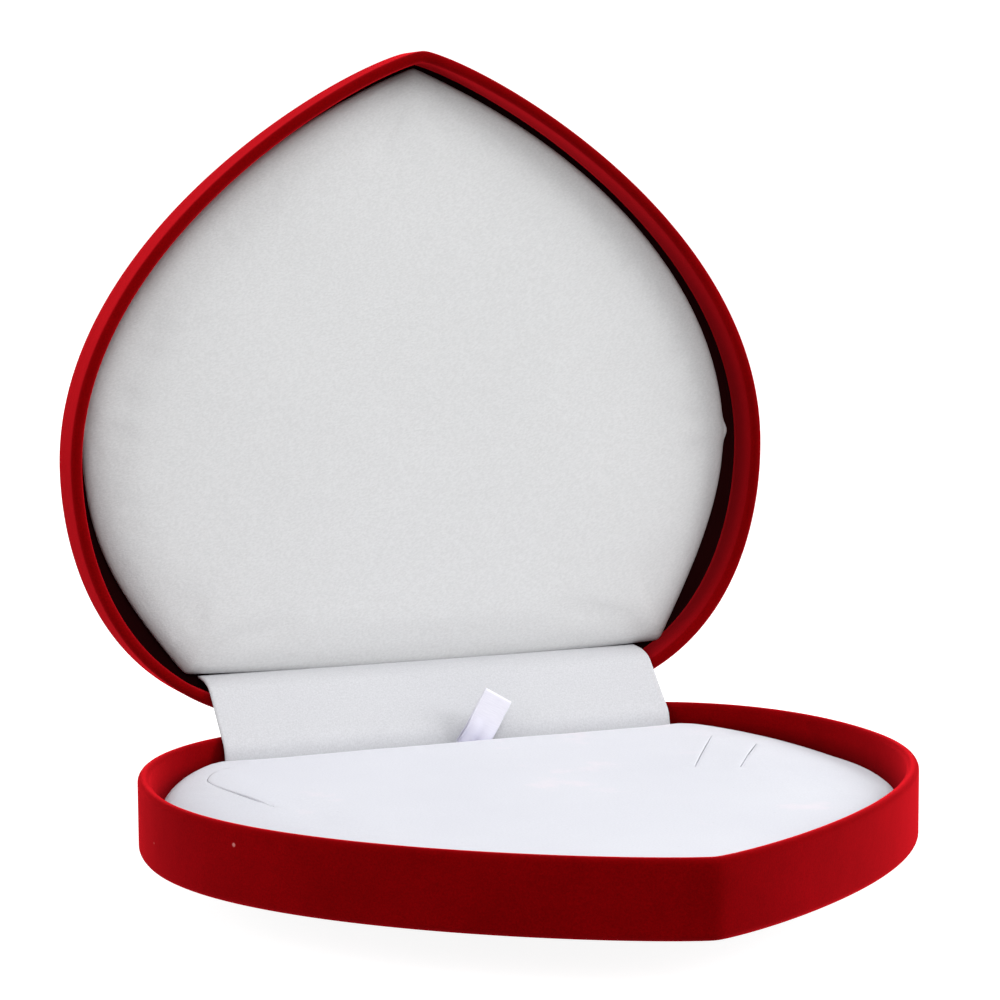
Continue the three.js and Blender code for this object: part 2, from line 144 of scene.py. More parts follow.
def heart_outline(count):
    """The heart in the hinge's frame, counter-clockwise from the tip."""
    tip = np.array([0, -LENGTH])
    widest = np.array([HALF_WIDTH, -63.8 * MM])
    lobe = np.array([28.2 * MM, 0])
    cleft = np.array([0, -5 * MM])
    slope = math.radians(12)
    tip_handle = tip + 19.5 * MM * np.array([math.cos(slope), math.sin(slope)])
    down, up = np.array([0, -55 * MM]), np.array([0, 23.4 * MM])
    out, back = np.array([51.6 * MM, 0]), np.array([-11 * MM, 0])
    right = np.vstack([
        bezier(tip, tip_handle, widest + down, widest, 400),
        bezier(widest, widest + up, lobe + out, lobe, 300),
        bezier(lobe, lobe + back, cleft + [6 * MM, 0], cleft, 120),
        cleft,
    ])
    left = right[1:-1][::-1] * [-1, 1]
    return smoothed(evenly(np.vstack([right, left]), count), 4)


def outwards(points):
    """The unit normal at each point of a closed outline."""
    along = np.roll(points, -1, 0) - np.roll(points, 1, 0)
    normal = np.c_[along[:, 1], -along[:, 0]]
    return normal / np.linalg.norm(normal, axis=1, keepdims=True)


def inset(points, distance):
    distance = np.asarray(distance)
    step = distance[:, None] if distance.ndim else distance
    return points - outwards(points) * step


def lining_outline(count):
    """The lining's outline from its curves, seen from its face in the frame of the lid's tray."""
    curves = [
        bezier(np.array(start), np.add(start, leaving), np.add(end, arriving), np.array(end), 200)
        for start, leaving, arriving, end in LINING_CURVES
    ]
    points = evenly(np.vstack(curves), count) * MM
    out = outwards(points)
    for (x, y), size in LINING_SPIKES:
        away = np.linalg.norm(points - np.array([x, y]) * MM, axis=1)
        points = points + out * size * MM * np.exp(-((away / (2 * MM)) ** 2))[:, None]
    return smoothed(points[::-1] * [-1, 1], 1)


def distance_to(paths, points, closed=True):
    """The distance from each point to the nearest of a loop's, or a path's, straight pieces."""
    starts = paths if closed else paths[:-1]
    ends = np.roll(paths, -1, 0) if closed else paths[1:]
    best = np.full(len(points), np.inf)
    for a, b in zip(starts, ends):
        along = b - a
        share = np.clip((points - a) @ along / max(along @ along, 1e-18), 0, 1)
        best = np.minimum(best, np.linalg.norm(points - a - share[:, None] * along, axis=1))
    return best


def inside(loop, points):
    """Which points lie inside a closed loop, by counting crossings."""
    found = np.zeros(len(points), bool)
    for a, b in zip(loop, np.roll(loop, -1, 0)):
        if a[1] == b[1]:
            continue
        spans = (a[1] > points[:, 1]) != (b[1] > points[:, 1])
        x = a[0] + (points[:, 1] - a[1]) / (b[1] - a[1]) * (b[0] - a[0])
        found ^= spans & (points[:, 0] < x)
    return found


def pad_outline(side_inset, back, count):
    """The heart inset for a pad, cut off straight in front of the hinge, with rounded corners."""
    points = inset(heart_outline(1200), side_inset)
    points[:, 1] = np.minimum(points[:, 1], -back)
    return smoothed(evenly(points, count), 3)


def ring(points, distance, height):
    """A row of 3-D points: the outline moved in by distance, at a height."""
    flat = inset(points, distance)
    return np.c_[flat, np.broadcast_to(height, len(flat))]


def arc_rows(points, distance, height, radius, start, end, steps):
    """Rows round a rounded edge; angles in degrees, 0 straight out and 90 straight up."""
    angles = np.radians(np.linspace(start, end, steps + 1))
    return [ring(points, distance - radius * math.cos(a), height + radius * math.sin(a)) for a in angles]


def wall_rows(points, distance, low, high, steps):
    """Rows up or down a straight wall, without its two ends."""
    return [ring(points, distance, z) for z in np.linspace(low, high, steps + 2)[1:-1]]


def cap_rows(edge, centre_y, steps, crown=0.0):
    """Rows from a ring in to one point, rising by crown at the middle."""
    centre = np.array([0, centre_y, edge[:, 2].mean()])
    rows = []
    for share in np.linspace(1, 0, steps + 1)[1:-1]:
        row = centre + (edge - centre) * share
        row[:, 2] += crown * (1 - share**2)
        rows.append(row)
    return rows + [centre[None] + [[0, 0, crown]]]


def slit_loop(path, half_width):
    """A narrow lens round a path: the mouth of a slit."""
    along = np.gradient(path, axis=0)
    side = np.c_[-along[:, 1], along[:, 0]] / np.linalg.norm(along, axis=1, keepdims=True)
    width = half_width * np.sin(np.linspace(0, math.pi, len(path)))[1:-1, None] ** 0.4
    near = path[1:-1] - side[1:-1] * width
    far = path[1:-1] + side[1:-1] * width
    return np.vstack([path[:1], near, path[-1:], far[::-1]])


def cover_sheet(name, outline, hem, wall, height_of, slits, spacing, place):
    """A cover's outer face: its hem, its wall and its top, meshed between the outline and the slits.
    height_of(points, distance) gives the top's height; wall is the height where the top begins."""
    flat = smoothed(outline, 12)
    rows = [ring(flat, d, 0) for d in np.linspace(hem, 2 * MM, 4)] + [ring(outline, 0.5 * MM, 0)]
    edge = np.minimum(height_of(outline, np.zeros(len(outline))), wall) - 0.5 * MM
    rows += [ring(outline, 0, 0.5 * MM + edge * share) for share in (0, 1 / 3, 2 / 3, 1)]
    loops = [slit_loop(path, SLIT_WIDTH / 2) for path in slits]
    near = []
    for d in (0.12 * MM, 0.4 * MM, 0.8 * MM, 1.4 * MM, 2.2 * MM):
        moved = inset(outline, d)
        near.append(moved[distance_to(outline, moved) > 0.93 * d])
    low, high = outline.min(0), outline.max(0)
    across = np.arange(low[0], high[0], spacing)
    up = np.arange(low[1], high[1], spacing * math.sqrt(0.75))
    grid = np.array([(x + (row % 2) * spacing / 2, y) for row, y in enumerate(up) for x in across])
    grid = grid[inside(outline, grid)]
    grid = grid[distance_to(outline, grid) > 3 * MM]
    free = np.vstack(near + [grid])
    for path in slits:
        lips = [inset(slit_loop(path, SLIT_WIDTH / 2), -d) for d in (0.35 * MM, 0.9 * MM, 1.7 * MM)]
        free = free[distance_to(path, free, closed=False) > 2.4 * MM]
        free = np.vstack([free] + lips)
    fixed = [outline] + loops
    starts = np.r_[0, np.cumsum([len(f) for f in fixed])]
    edges = [(s + i, s + (i + 1) % len(f)) for s, f in zip(starts, fixed) for i in range(len(f))]
    points = np.vstack(fixed + [free])
    found = delaunay_2d_cdt([Vector(p) for p in points], edges, [], 0, 1e-7)
    points = np.array([tuple(p) for p in found[0]])
    triangles = np.array(found[2])
    middles = points[triangles].mean(1)
    keep = inside(outline, middles)
    for loop in loops:
        keep &= ~inside(loop, middles)
    top = np.c_[points, height_of(points, distance_to(outline, points))]
    # The triangulation keeps its first points in order, so the outline comes first here too.
    count = len(outline)
    below = np.vstack(rows[:-1])
    faces = []
    for row in range(len(rows) - 1):
        for i in range(count):
            j = (i + 1) % count
            faces.append((row * count + i, row * count + j, (row + 1) * count + j, (row + 1) * count + i))
    faces += [tuple(int(v) + len(below) for v in triangle) for triangle in triangles[keep]]
    return new_mesh(name, np.vstack([below, top]), faces, place)


def make_cover(sheet, pressure, limit, thickness):
    """A cover sheet puffed out by its foam, then given its thickness inwards."""
    z = coordinates(sheet.data)[:, 2]
    puffed(sheet, z < z.max() - 1.6 * MM, pressure, limit)
    modified(sheet, "SOLIDIFY", thickness=thickness, offset=-1, use_rim=True)
    sheet.data.shade_smooth()
    return sheet


def make_foam(name, outline, margin, low, height_of, place, body, replaced, materials):
    """The foam core under a cover: a closed pad of the cover's own shape, a little smaller."""
    gap = COVER_THICKNESS + 0.3 * MM
    core = inset(outline, margin)
    sheet = cover_sheet(name, core, 20 * MM, low + 0.6 * MM, lambda p, d: height_of(p, d + margin) - gap, [],
                        3 * MM, place)
    points = coordinates(sheet.data)
    flat = points[:, 2] < low
    points[flat, 2] = low
    set_coordinates(sheet.data, points)
    modified(sheet, "SOLIDIFY", thickness=0.5 * MM, offset=-1, use_rim=True)
    sheet.data.shade_smooth()
    wear(sheet, materials["foam"])
    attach(sheet, body)
    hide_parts(replaced)


def make_board(name, outline, low, thickness, place, body, replaced, materials):
    """The card that a cover is drawn over, with its edges broken."""
    core = inset(outline, COVER_THICKNESS + MM)
    rows = [ring(core, 0.15 * MM, low), ring(core, 0, low + 0.15 * MM)]
    rows += [ring(core, 0, low + thickness - 0.15 * MM), ring(core, 0.15 * MM, low + thickness)]
    middle = -LENGTH / 2
    rows = cap_rows(rows[0], middle, 8)[::-1] + rows + cap_rows(rows[-1], middle, 8)
    board = from_rings(name, rows, place=place)
    wear(board, materials["card"])
    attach(board, body)
    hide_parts(replaced)


def rolled(distance, width, drop):
    """How far a rolled edge lies below the top, at a distance from the outline."""
    share = np.clip(1 - distance / width, 0, 1)
    return drop * (1 - np.sqrt(1 - share**2))


def ripple(points, scale, seed):
    """A smooth unevenness between about -1 and 1."""
    return np.array([noise.noise(Vector((x / scale, y / scale, seed))) for x, y in points])


# ---------------------------------------------------------------- meshes
def new_mesh(name, vertices, faces, place=None):
    mesh = bpy.data.meshes.new(name)
    mesh.from_pydata([tuple(v) for v in vertices], [], faces)
    mesh.validate()
    obj = bpy.data.objects.new(name, mesh)
    bpy.context.scene.collection.objects.link(obj)
    obj.matrix_world = place or Matrix.Translation((0, HINGE.y, 0))
    mesh.shade_smooth()
    return obj


def from_rings(name, rows, closed=False, place=None):
    """A mesh through rows of ring points. A row of one point is a pole; closed joins last to first."""
    starts = np.r_[0, np.cumsum([len(r) for r in rows])]
    count = max(len(r) for r in rows)
    pairs = list(zip(range(len(rows) - 1), range(1, len(rows))))
    if closed:
        pairs.append((len(rows) - 1, 0))
    faces = []
    for low, high in pairs:
        a, b = starts[low], starts[high]
        for i in range(count):
            j = (i + 1) % count
            if len(rows[low]) == 1:
                faces.append((a, b + j, b + i))
            elif len(rows[high]) == 1:
                faces.append((a + i, a + j, b))
            else:
                faces.append((a + i, a + j, b + j, b + i))
    return new_mesh(name, np.vstack(rows), faces, place)


def grid_mesh(name, rows, place=None):
    """An open sheet through equal rows of points."""
    width = len(rows[0])
    faces = [
        (r * width + c, r * width + c + 1, (r + 1) * width + c + 1, (r + 1) * width + c)
        for r in range(len(rows) - 1)
        for c in range(width - 1)
    ]
    return new_mesh(name, np.vstack(rows), faces, place)


def apply_modifiers(obj):
    """The object's mesh with its modifiers worked in."""
    graph = bpy.context.evaluated_depsgraph_get()
    mesh = bpy.data.meshes.new_from_object(obj.evaluated_get(graph))
    obj.modifiers.clear()
    old, obj.data = obj.data, mesh
    bpy.data.meshes.remove(old)
    return obj


def modified(obj, kind, **settings):
    modifier = obj.modifiers.new(kind, kind)
    for key, value in settings.items():
        setattr(modifier, key, value)
    return apply_modifiers(obj)


def cut_away(obj, tool):
    """The object less the tool, which is then deleted."""
    modified(obj, "BOOLEAN", object=tool, operation="DIFFERENCE", solver="EXACT")
    bpy.data.objects.remove(tool)
    return obj


def block(name, low, high, place):
    corners = [(x, y, z) for x in (low[0], high[0]) for y in (low[1], high[1]) for z in (low[2], high[2])]
    faces = [(0, 1, 3, 2), (4, 6, 7, 5), (0, 4, 5, 1), (2, 3, 7, 6), (0, 2, 6, 4), (1, 5, 7, 3)]
    return new_mesh(name, corners, faces, place)


def coordinates(mesh):
    flat = np.empty(len(mesh.vertices) * 3)
    mesh.vertices.foreach_get("co", flat)
    return flat.reshape(-1, 3)


def set_coordinates(mesh, points):
    mesh.vertices.foreach_set("co", np.ascontiguousarray(points, float).ravel())
    mesh.update()


def puffed(obj, pinned, pressure, limit, frames=20):
    """Cloth simulation under pressure: the cover fills out, and no point moves further than limit."""
    before = coordinates(obj.data)
    group = obj.vertex_groups.new(name="pinned")
    group.add([int(i) for i in np.flatnonzero(pinned)], 1.0, "REPLACE")
    cloth = obj.modifiers.new("cloth", "CLOTH")
    cloth.settings.quality = 6
    cloth.settings.mass = 0.2
    cloth.settings.tension_stiffness = 20
    cloth.settings.compression_stiffness = 20
    cloth.settings.bending_stiffness = 2
    cloth.settings.use_pressure = True
    cloth.settings.uniform_pressure_force = pressure
    cloth.settings.effector_weights.gravity = 0
    cloth.settings.vertex_group_mass = "pinned"
    cloth.point_cache.frame_end = frames
    for number in range(1, frames + 1):
        bpy.context.scene.frame_set(number)
    apply_modifiers(obj)
    moved = coordinates(obj.data) - before
    size = np.maximum(np.linalg.norm(moved, axis=1, keepdims=True), 1e-9)
    set_coordinates(obj.data, before + moved / size * limit * np.tanh(size / limit))
    obj.vertex_groups.clear()
    bpy.context.scene.frame_set(1)
    return obj


# ---------------------------------------------------------------- materials
class Finish:
    """A material with a Principled shader, and short ways to add the nodes it needs."""

    def __init__(self, name, **sockets):
        self.material = bpy.data.materials.new(name)
        self.material.use_nodes = True
        self.nodes = self.material.node_tree.nodes
        self.links = self.material.node_tree.links
        self.shader = self.nodes["Principled BSDF"]
        for key, value in sockets.items():
            self.shader.inputs[key.replace("_", " ").title().replace("Ior", "IOR")].default_value = value
        self.bump_before = None

    def node(self, kind, inputs=None, **settings):
        made = self.nodes.new("ShaderNode" + kind)
        for key, value in settings.items():
            setattr(made, key, value)
        for key, value in (inputs or {}).items():
            if isinstance(value, bpy.types.NodeSocket):
                self.links.new(value, made.inputs[key])
            else:
                made.inputs[key].default_value = value
        return made

    def place(self, scale=(1, 1, 1), turn=(0, 0, 0)):
        """Object coordinates, turned and stretched."""
        where = self.node("TexCoord").outputs["Object"]
        turned = self.node("Mapping", {"Vector": where, "Rotation": turn})
        return self.node("Mapping", {"Vector": turned.outputs[0], "Scale": scale}).outputs[0]

    def noise(self, scale, detail=2.0, roughness=0.5, at=None):
        inputs = {"Scale": scale, "Detail": detail, "Roughness": roughness, "Vector": at or self.place()}
        return self.node("TexNoise", inputs).outputs["Fac"]

    def ramp(self, value, *stops):
        made = self.node("ValToRGB", {"Fac": value})
        elements = made.color_ramp.elements
        while len(elements) < len(stops):
            elements.new(0.5)
        for element, (position, color) in zip(elements, stops):
            element.position = position
            element.color = (*color, 1)
        return made.outputs["Color"]

    def span(self, value, low, high, to_low=0.0, to_high=1.0):
        inputs = {"Value": value, "From Min": low, "From Max": high, "To Min": to_low, "To Max": to_high}
        return self.node("MapRange", inputs).outputs["Result"]

    def mix(self, share, a, b, blend="MIX"):
        made = self.node("Mix", data_type="RGBA", blend_type=blend)
        for index, value in ((0, share), (6, a), (7, b)):
            if isinstance(value, bpy.types.NodeSocket):
                self.links.new(value, made.inputs[index])
            else:
                made.inputs[index].default_value = value if index == 0 else (*value, 1)
        return made.outputs[2]

    def color(self, value):
        self.links.new(value, self.shader.inputs["Base Color"])

    def roughness(self, value):
        self.links.new(value, self.shader.inputs["Roughness"])

    def bump(self, height, strength, distance):
        inputs = {"Height": height, "Strength": strength, "Distance": distance}
        if self.bump_before is not None:
            inputs["Normal"] = self.bump_before
        self.bump_before = self.node("Bump", inputs).outputs["Normal"]
        self.links.new(self.bump_before, self.shader.inputs["Normal"])


def red_velvet():
    finish = Finish(
        "red_velvet", roughness=1.0, specular_ior_level=0.0, sheen_weight=1.0,
        sheen_roughness=0.47, sheen_tint=(1.0, 0.018, 0.03, 1),
    )
    nap = finish.noise(30, 3, 0.55)
    pile = finish.noise(2400, 2, 0.6)
    pressed = finish.noise(210, 3, 0.6)
    cloth = finish.ramp(nap, (0.3, (0.115, 0.0003, 0.0006)), (0.72, (0.158, 0.0005, 0.0012)))
    cloth = finish.mix(finish.span(pressed, 0.4, 0.78, 0.0, 0.3), cloth, (0.08, 0.0002, 0.0004))
    deep = finish.ramp(pile, (0.32, (0.78, 0.78, 0.78)), (0.7, (1.13, 1.13, 1.13)))
    cloth = finish.mix(1.0, cloth, deep, "MULTIPLY")
    # Painted shade: on the trays' inner walls, deep below the rim, the colour darkens to near-black, standing
    # in for the shadow in the recess.
    where = finish.place()
    out = finish.node("VectorMath", {0: where, 1: (0, -LENGTH / 2, 0)}, operation="SUBTRACT").outputs[0]
    out = finish.node("VectorMath", {0: out, 1: (1, 1, 0)}, operation="MULTIPLY").outputs[0]
    out = finish.node("VectorMath", {0: out}, operation="NORMALIZE").outputs[0]
    normal = finish.node("TexCoord").outputs["Normal"]
    facing = finish.node("VectorMath", {0: normal, 1: out}, operation="DOT_PRODUCT").outputs["Value"]
    height = finish.node("SeparateXYZ", {"Vector": where}).outputs["Z"]
    inwards = finish.span(facing, 0.0, -0.4)
    share = finish.node("Math", {0: inwards, 1: finish.span(height, 13.3 * MM, 7 * MM)}, operation="MULTIPLY")
    cloth = finish.mix(share.outputs[0], cloth, (0.004, 0.0001, 0.0001))
    for spot, size in ((LINT[0], 0.55 * MM), (LINT[1], 0.3 * MM)):
        away = finish.node("VectorMath", {0: where, 1: spot}, operation="DISTANCE").outputs["Value"]
        cloth = finish.mix(finish.span(away, size / 2, size, 0.75, 0.0), cloth, (0.5, 0.2, 0.19))
    finish.color(cloth)
    finish.bump(nap, 0.2, 1.5 * MM)
    finish.bump(pressed, 0.22, 0.25 * MM)
    finish.bump(pile, 0.4, 0.08 * MM)
    return finish.material


def white_velvet():
    finish = Finish(
        "white_velvet", roughness=0.95, specular_ior_level=0.1, sheen_weight=0.12,
        sheen_roughness=0.5, sheen_tint=(0.95, 0.95, 1.0, 1),
    )
    wide = finish.noise(26, 3, 0.5)
    pile = finish.noise(2300, 2, 0.6)
    cloth = finish.ramp(wide, (0.3, (0.575, 0.583, 0.629)), (0.7, (0.596, 0.604, 0.647)))
    shade = finish.ramp(pile, (0.3, (0.95, 0.95, 0.955)), (0.7, (1.03, 1.03, 1.03)))
    cloth = finish.mix(1.0, cloth, shade, "MULTIPLY")
    blush = finish.noise(48, 4, 0.6)
    cloth = finish.mix(finish.span(blush, 0.62, 0.8, 0.0, 0.35), cloth, (0.82, 0.67, 0.72))
    dust = finish.node("TexVoronoi", {"Scale": 150.0, "Vector": finish.place()}, feature="F1")
    speck = finish.span(dust.outputs["Distance"], 0.03, 0.05, 0.4, 0.0)
    finish.color(finish.mix(speck, cloth, (0.45, 0.45, 0.5)))
    finish.bump(finish.noise(420, 3, 0.6), 0.15, 0.2 * MM)
    finish.bump(pile, 0.35, 0.08 * MM)
    return finish.material


def lining_satin():
    finish = Finish(
        "lining_satin", roughness=0.6, specular_ior_level=0.22, sheen_weight=0.1,
        sheen_roughness=0.5, sheen_tint=(1, 1, 1, 1),
    )
    dashes = finish.place((1200, 2700, 1800), (0, 0, math.radians(-24)))
    grain = finish.noise(1.0, 1, 0.5, dashes)
    fine = finish.noise(2600, 2, 0.5)
    wide = finish.noise(14, 2, 0.5)
    cloth = finish.ramp(wide, (0.3, (0.553, 0.558, 0.561)), (0.7, (0.566, 0.57, 0.574)))
    shade = finish.ramp(grain, (0.32, (0.945, 0.945, 0.945)), (0.7, (1.035, 1.035, 1.035)))
    finish.color(finish.mix(1.0, cloth, shade, "MULTIPLY"))
    finish.roughness(finish.span(grain, 0.3, 0.7, 0.66, 0.52))
    finish.bump(grain, 0.6, 0.09 * MM)
    finish.bump(fine, 0.15, 0.03 * MM)
    return finish.material


def strip_paper():
    finish = Finish("strip_paper", roughness=0.85, specular_ior_level=0.2)
    fibre = finish.noise(2500, 3, 0.6)
    blot = finish.noise(520, 3, 0.6)
    wide = finish.noise(30, 2, 0.5)
    paper = finish.ramp(wide, (0.3, (0.478, 0.482, 0.503)), (0.7, (0.494, 0.498, 0.517)))
    shade = finish.ramp(fibre, (0.34, (0.9, 0.9, 0.905)), (0.66, (1.055, 1.055, 1.055)))
    paper = finish.mix(1.0, paper, shade, "MULTIPLY")
    finish.color(finish.mix(finish.span(blot, 0.55, 0.75, 0.0, 0.12), paper, (0.5, 0.505, 0.52)))
    finish.bump(blot, 0.2, 0.1 * MM)
    finish.bump(fibre, 0.4, 0.05 * MM)
    return finish.material


def ribbon_satin():
    finish = Finish(
        "ribbon_satin", roughness=0.38, specular_ior_level=0.5, sheen_weight=0.2,
        sheen_roughness=0.35, sheen_tint=(1, 1, 1, 1), anisotropic=0.4,
    )
    along = finish.place((400, 400, 5200))
    threads = finish.noise(1.0, 2, 0.4, along)
    cloth = finish.ramp(threads, (0.3, (0.63, 0.62, 0.69)), (0.7, (0.69, 0.68, 0.745)))
    # Painted shade: the ribbon's colour darkens to a greyer lilac towards its foot, where it tucks into the
    # pad, standing in for the shadow there.
    height = finish.node("SeparateXYZ", {"Vector": finish.place()}).outputs["Z"]
    foot = finish.span(height, -2.5 * MM, 4.5 * MM, 0.85, 0.0)
    finish.color(finish.mix(foot, cloth, (0.52, 0.51, 0.62)))
    finish.bump(threads, 0.3, 0.05 * MM)
    return finish.material


def felt():
    finish = Finish(
        "felt", roughness=0.98, sheen_weight=0.3, sheen_roughness=0.6,
        sheen_tint=(1, 0.3, 0.3, 1),
    )
    fibre = finish.noise(900, 5, 0.75)
    finish.color(finish.ramp(fibre, (0.35, (0.13, 0.003, 0.006)), (0.7, (0.25, 0.008, 0.013))))
    finish.bump(fibre, 0.6, 0.25 * MM)
    return finish.material


def tray_plastic():
    finish = Finish("tray_plastic", roughness=0.9, specular_ior_level=0.04)
    flow = finish.noise(25, 3, 0.6)
    grit = finish.noise(1800, 2, 0.6)
    # Painted shade: the shell is near-black so that where it shows, in the deep gap beside the lid's lining,
    # it stands in for the shade there.
    finish.color(finish.ramp(flow, (0.3, (0.009, 0.0006, 0.0008)), (0.7, (0.016, 0.0009, 0.0012))))
    finish.roughness(finish.span(grit, 0.3, 0.7, 0.8, 0.95))
    finish.bump(grit, 0.2, 0.03 * MM)
    return finish.material


def card():
    finish = Finish("card", roughness=0.9, specular_ior_level=0.2)
    fibre = finish.noise(1.0, 5, 0.7, finish.place((500, 1600, 1600)))
    finish.color(finish.ramp(fibre, (0.3, (0.36, 0.29, 0.19)), (0.72, (0.52, 0.44, 0.31))))
    finish.bump(fibre, 0.35, 0.08 * MM)
    return finish.material


def foam():
    finish = Finish("foam", roughness=0.95, specular_ior_level=0.1)
    cells = finish.node("TexVoronoi", {"Scale": 1500.0, "Vector": finish.place()}, feature="F1")
    depth = cells.outputs["Distance"]
    finish.color(finish.ramp(depth, (0.15, (0.62, 0.6, 0.54)), (0.55, (0.84, 0.82, 0.76))))
    finish.bump(depth, 0.6, 0.25 * MM)
    return finish.material


def hinge_steel():
    finish = Finish("hinge_steel", metallic=1.0, roughness=0.32)
    brush = finish.noise(1.0, 3, 0.6, finish.place((250, 4200, 4200)))
    spots = finish.noise(320, 4, 0.6)
    finish.color(finish.ramp(brush, (0.3, (0.5, 0.51, 0.53)), (0.7, (0.66, 0.67, 0.69))))
    finish.roughness(finish.span(spots, 0.35, 0.7, 0.26, 0.5))
    finish.bump(brush, 0.15, 0.02 * MM)
    return finish.material


def wear(obj, material):
    obj.data.materials.clear()
    obj.data.materials.append(material)
    return obj


# ---------------------------------------------------------------- pieces
def velvet_skin(name, hem, height, place, bottom_crown=0.0):
    """The velvet over a tray: flat outside, rounded edge, wall, rolled rim and inner lip.
    Heights run from the flat outside up to the rim. hem is None where the velvet covers it all."""
    outline = heart_outline(640)
    rim = height - RIM_CLEARANCE
    inner = RIM_WIDTH - RIM_INNER_RADIUS
    outside = arc_rows(outline, EDGE_RADIUS, EDGE_RADIUS, EDGE_RADIUS, -90, 0, 8)
    outside += wall_rows(outline, 0, EDGE_RADIUS, rim - RIM_OUTER_RADIUS, 10)
    outside += arc_rows(outline, RIM_OUTER_RADIUS, rim - RIM_OUTER_RADIUS, RIM_OUTER_RADIUS, 0, 90, 6)
    outside += arc_rows(outline, inner, rim - RIM_INNER_RADIUS, RIM_INNER_RADIUS, 90, 180, 7)
    outside += wall_rows(outline, RIM_WIDTH, rim - RIM_INNER_RADIUS, LIP_END, 6)
    end = arc_rows(outline, RIM_WIDTH - VELVET / 2, LIP_END, VELVET / 2, 180, 360, 4)
    radius = RIM_WIDTH / 2 - VELVET
    back = arc_rows(outline, RIM_WIDTH / 2, rim - RIM_WIDTH / 2, radius, 180, 0, 8)
    back += arc_rows(outline, EDGE_RADIUS, EDGE_RADIUS, EDGE_RADIUS - VELVET, 0, -90, 4)
    if hem is None:
        first = cap_rows(outside[0], -LENGTH / 2, 50, -bottom_crown)
        last = cap_rows(back[-1], -LENGTH / 2, 12, -bottom_crown)
        rows = first[::-1] + outside + end + back + last
        return from_rings(name, rows, place=place)
    under = [ring(outline, d, 0) for d in np.linspace(hem, EDGE_RADIUS, 5)[:-1]]
    over = [ring(outline, d, VELVET) for d in np.linspace(EDGE_RADIUS, hem, 5)[1:]]
    return from_rings(name, under + outside + end + back + over, closed=True, place=place)


def hinge_notch(height, place):
    """The notch that lets the leaf out over the rim."""
    half = 11.8 * MM
    low = (-half, -18 * MM, height - 3 * MM)
    return block("notch", low, (half, 3 * MM, height + MM), place)


def rivet_hole(x, height, place):
    """Where a rivet of the leaf goes through the velvet inside the wall."""
    half, drop = 1.2 * MM, 7.8 * MM
    low = (x - half, -11 * MM, height - drop - half)
    return block("rivet_hole", low, (x + half, -6.4 * MM, height - drop + half), place)


def make_velvet(materials):
    base_place = Matrix.Translation((0, HINGE.y, 0))
    skins = (("base", HEM_WIDTH, TRAY_HEIGHT, base_place), ("lid", None, LID_HEIGHT, LID_TRAY))
    for body, hem, height, place in skins:
        skin = velvet_skin(f"{body}_velvet_skin", hem, height, place, 0.0 if hem else 0.5 * MM)
        cut_away(skin, hinge_notch(height, place))
        for x in (-5 * MM, 5 * MM):
            cut_away(skin, rivet_hole(x, height, place))
        skin.data.shade_smooth()
        wear(skin, materials["red_velvet"])
        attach(skin, body)
        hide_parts(f"{body}_velvet")


def make_insert_cover(materials):
    outline = pad_outline(PAD_INSET, PAD_BACK, 460)
    top = PAD_HIGH.z - PAD_LOW.z - 0.1 * MM
    drop, width = 2.4 * MM, 3 * MM
    slits = [smooth_run(np.array(path) * MM, 40)[0] for path in PAD_SLITS]

    def height_of(points, distance):
        height = top - rolled(distance, width, drop)
        height += ripple(points, 24 * MM, 3.1) * 0.12 * MM + ripple(points, 7 * MM, 8.4) * 0.03 * MM
        # The pad sinks towards its two lobes, the right one a little more.
        lobe = np.clip((abs(points[:, 0]) - 62 * MM) / (20 * MM), 0, 1) ** 1.3
        height -= lobe * np.where(points[:, 0] > 0, 2.9 * MM, 2.6 * MM)
        for path in slits:
            away = distance_to(path, points, closed=False)
            ahead = path[-1] - path[0]
            side = (points - path[0]) @ np.array([-ahead[1], ahead[0]]) / np.linalg.norm(ahead)
            proud = 0.15 * MM * np.exp(-((away / (3.5 * MM)) ** 2)) * (side * path[0, 0] < 0)
            height += proud - 0.1 * MM * np.exp(-away / (0.4 * MM))
        return height

    place = Matrix.Translation((0, HINGE.y, PAD_LOW.z))
    cover = cover_sheet("insert_pad_cover", outline, HEM_WIDTH, top - drop, height_of, slits, 1.7 * MM, place)
    make_cover(cover, 1.5, 0.3 * MM, COVER_THICKNESS)
    wear(cover, materials["white_velvet"])
    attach(cover, "insert")
    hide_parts("insert_cover")
    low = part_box("insert_foam")[0][2] - PAD_LOW.z
    gap = COVER_THICKNESS + 0.3 * MM
    make_foam("insert_foam_core", outline, gap, low, height_of, place, "insert", "insert_foam", materials)


